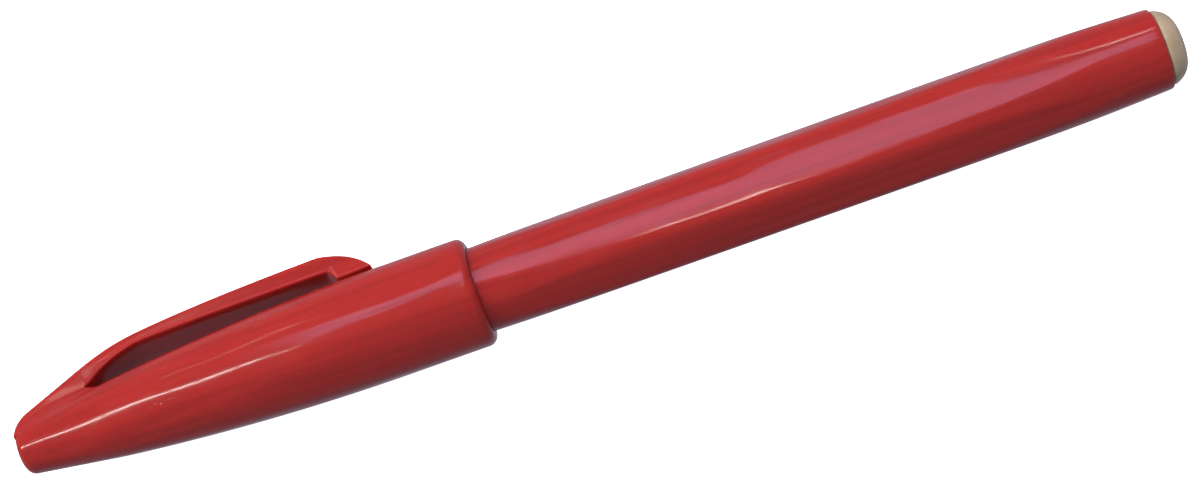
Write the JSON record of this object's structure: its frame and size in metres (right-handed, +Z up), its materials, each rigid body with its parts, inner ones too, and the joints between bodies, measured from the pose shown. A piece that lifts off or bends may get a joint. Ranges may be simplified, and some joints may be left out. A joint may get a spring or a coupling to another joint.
{
  "type": "calligraphy marker",
  "caption": "Capped fibre-tip lettering pen with a soft hexagonal barrel, a pull-off cap with a flexing clip, a tail plug and an ink reservoir.",
  "frame": {"origin": "centre of the flat end face of the tail plug", "axes": "+X along the pen's axis, out of the tail; +Z up as the capped pen lies on a table on its cap rim, its tail and its clip; the clip is on the +Y side"},
  "size_m": [0.137, 0.0162, 0.0132],
  "materials": {
    "cap_red": "glossy injection-moulded polypropylene",
    "barrel_red": "glossy injection-moulded polypropylene",
    "plug_cream": "satin moulded polyethylene",
    "liner_white": "soft moulded polyethylene",
    "collar_white": "moulded acetal",
    "nib_fibre": "bonded acrylic fibre, wet with ink",
    "ink_felt": "bonded polyester fibre, wet with ink",
    "film_clear": "clear polypropylene film"
  },
  "bodies": {
    "pen": {"barrel": "barrel_red", "end_plug": "plug_cream", "nib_holder": "barrel_red", "nib_collar": "collar_white", "nib": "nib_fibre", "ink_feed": "ink_felt", "ink_reservoir": "ink_felt", "reservoir_film": "film_clear"},
    "cap": {"cap_shell": "cap_red", "inner_cap": "liner_white"},
    "clip": {"cap_clip": "cap_red"}
  },
  "joints": [
    {"name": "cap_pull", "type": "slide", "parent": "pen", "child": "cap", "axis": [-1, 0, 0], "range_m": [0, 0.05]},
    {"name": "clip_flex", "type": "hinge", "parent": "cap", "child": "clip", "pos_m": [-0.1279, 0.00517, -0.00281], "axis": [0, 0.4772, 0.8788], "range_deg": [0, 3], "stiffness_Nm_per_rad": 1, "springref_deg": -2.86}
  ]
}
